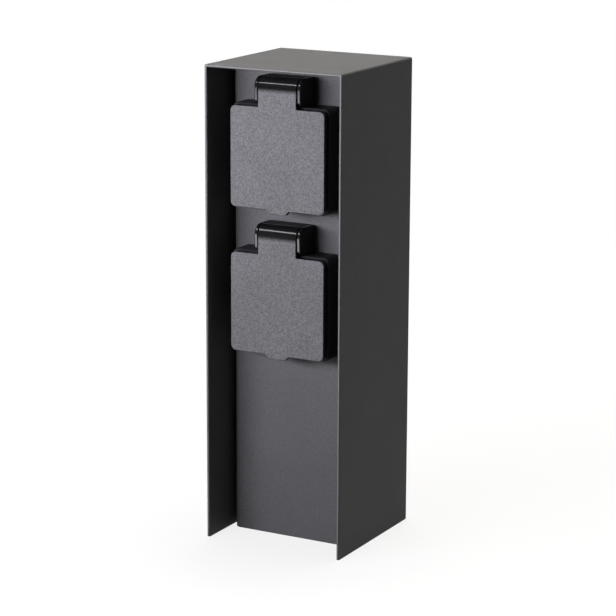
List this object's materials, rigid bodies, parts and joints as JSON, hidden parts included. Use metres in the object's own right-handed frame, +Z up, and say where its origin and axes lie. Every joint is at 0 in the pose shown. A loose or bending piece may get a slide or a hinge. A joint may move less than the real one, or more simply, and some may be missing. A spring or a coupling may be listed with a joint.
{
  "type": "garden socket post",
  "caption": "Square free-standing outdoor power post: folded dark metal hood over a recessed panel with spring-closed lidded sockets, fixed to the ground through a foot plate.",
  "frame": {"origin": "middle of the footprint, at ground level", "axes": "+Z up, -Y towards the front with the sockets, +X to the right seen from the front"},
  "size_m": [0.08, 0.08, 0.255],
  "materials": {
    "coated_steel": "fine-textured satin powder coat",
    "zinc_steel": "zinc plated",
    "dark_steel": "blackened",
    "pin_steel": "bright stainless",
    "gloss_black": "polished moulding",
    "grained_black": "finely grained moulding",
    "dark_plastic": "moulded",
    "gland_plastic": "moulded polyamide",
    "black_rubber": "soft matt rubber",
    "brass": "bright",
    "pale_plastic": "moulded polyamide",
    "brown_insulation": "smooth insulation",
    "blue_insulation": "smooth insulation",
    "green_yellow_insulation": "smooth striped insulation"
  },
  "bodies": {
    "root": {"hood": "coated_steel", "front_chassis": "coated_steel", "base_bracket": "zinc_steel", "hood_screws": "dark_steel", "pressed_nuts": "zinc_steel", "base_screws": "zinc_steel", "gland_body": "gland_plastic", "gland_locknut": "gland_plastic", "gland_seal": "black_rubber", "gland_nut": "gland_plastic", "terminal_block": "pale_plastic", "terminal_sleeves": "brass", "terminal_clamp_screws": "zinc_steel", "block_screws": "zinc_steel", "line_wires": "brown_insulation", "neutral_wires": "blue_insulation", "earth_wires": "green_yellow_insulation", "bonding_wire": "green_yellow_insulation", "earth_lug": "brass", "earth_screw": "zinc_steel", "upper_frame": "gloss_black", "upper_gasket": "black_rubber", "upper_flange_screws": "zinc_steel", "upper_hinge_pin": "pin_steel", "upper_lid_spring": "pin_steel", "upper_plug_well": "gloss_black", "upper_contact_housing": "dark_plastic", "upper_line_contact": "brass", "upper_neutral_contact": "brass", "upper_earth_contact": "brass", "upper_terminal_screws": "zinc_steel", "upper_housing_screws": "zinc_steel", "lower_frame": "gloss_black", "lower_gasket": "black_rubber", "lower_flange_screws": "zinc_steel", "lower_hinge_pin": "pin_steel", "lower_lid_spring": "pin_steel", "lower_plug_well": "gloss_black", "lower_contact_housing": "dark_plastic", "lower_line_contact": "brass", "lower_neutral_contact": "brass", "lower_earth_contact": "brass", "lower_terminal_screws": "zinc_steel", "lower_housing_screws": "zinc_steel"},
    "upper_lid": {"upper_lid": "grained_black", "upper_lid_seal": "black_rubber"},
    "lower_lid": {"lower_lid": "grained_black", "lower_lid_seal": "black_rubber"}
  },
  "joints": [
    {"name": "upper_lid_hinge", "type": "hinge", "parent": "root", "child": "upper_lid", "pos_m": [0, -0.0295, 0.2443], "axis": [-1, 0, 0], "range_deg": [0, 100], "stiffness_Nm_per_rad": 0.012, "springref_deg": -45.84},
    {"name": "lower_lid_hinge", "type": "hinge", "parent": "root", "child": "lower_lid", "pos_m": [0, -0.0295, 0.1673], "axis": [-1, 0, 0], "range_deg": [0, 100], "stiffness_Nm_per_rad": 0.012, "springref_deg": -45.84}
  ]
}
